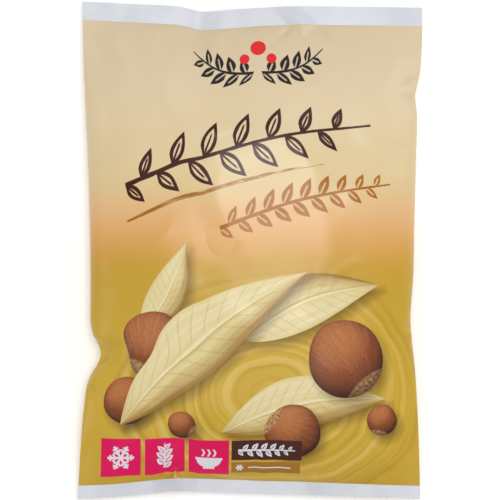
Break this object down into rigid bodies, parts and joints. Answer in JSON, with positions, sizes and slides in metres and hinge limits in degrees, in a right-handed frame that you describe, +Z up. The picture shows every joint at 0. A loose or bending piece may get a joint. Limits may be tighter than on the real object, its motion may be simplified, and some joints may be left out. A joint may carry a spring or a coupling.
{
  "type": "sealed frozen food pillow bag",
  "caption": "Sealed film pillow bag of frozen food lying on its back, with flat white end seals, a folded back fin seal and whole mushrooms inside.",
  "frame": {"origin": "middle of the bag's own box, on the surface that it lies on", "axes": "+Z up out of the printed front, +Y from the bottom seal to the top seal, +X to the right seen from the front"},
  "size_m": [0.2418, 0.3492, 0.0492],
  "materials": {
    "printed_front": "satin printed film, cream to peach to gold",
    "printed_back": "satin printed film, plain cream to gold",
    "white_seal": "satin unprinted cool white film",
    "mushroom": "matte cream flesh with a brown cap"
  },
  "bodies": {
    "root": {"front_wall": "printed_front", "back_wall": "printed_back", "top_seal": "white_seal", "bottom_seal": "white_seal", "back_fin_seal": "printed_back", "mushroom_01": "mushroom", "mushroom_02": "mushroom", "mushroom_03": "mushroom", "mushroom_04": "mushroom", "mushroom_05": "mushroom", "mushroom_06": "mushroom", "mushroom_07": "mushroom", "mushroom_08": "mushroom", "mushroom_09": "mushroom", "mushroom_10": "mushroom"}
  },
  "joints": []
}
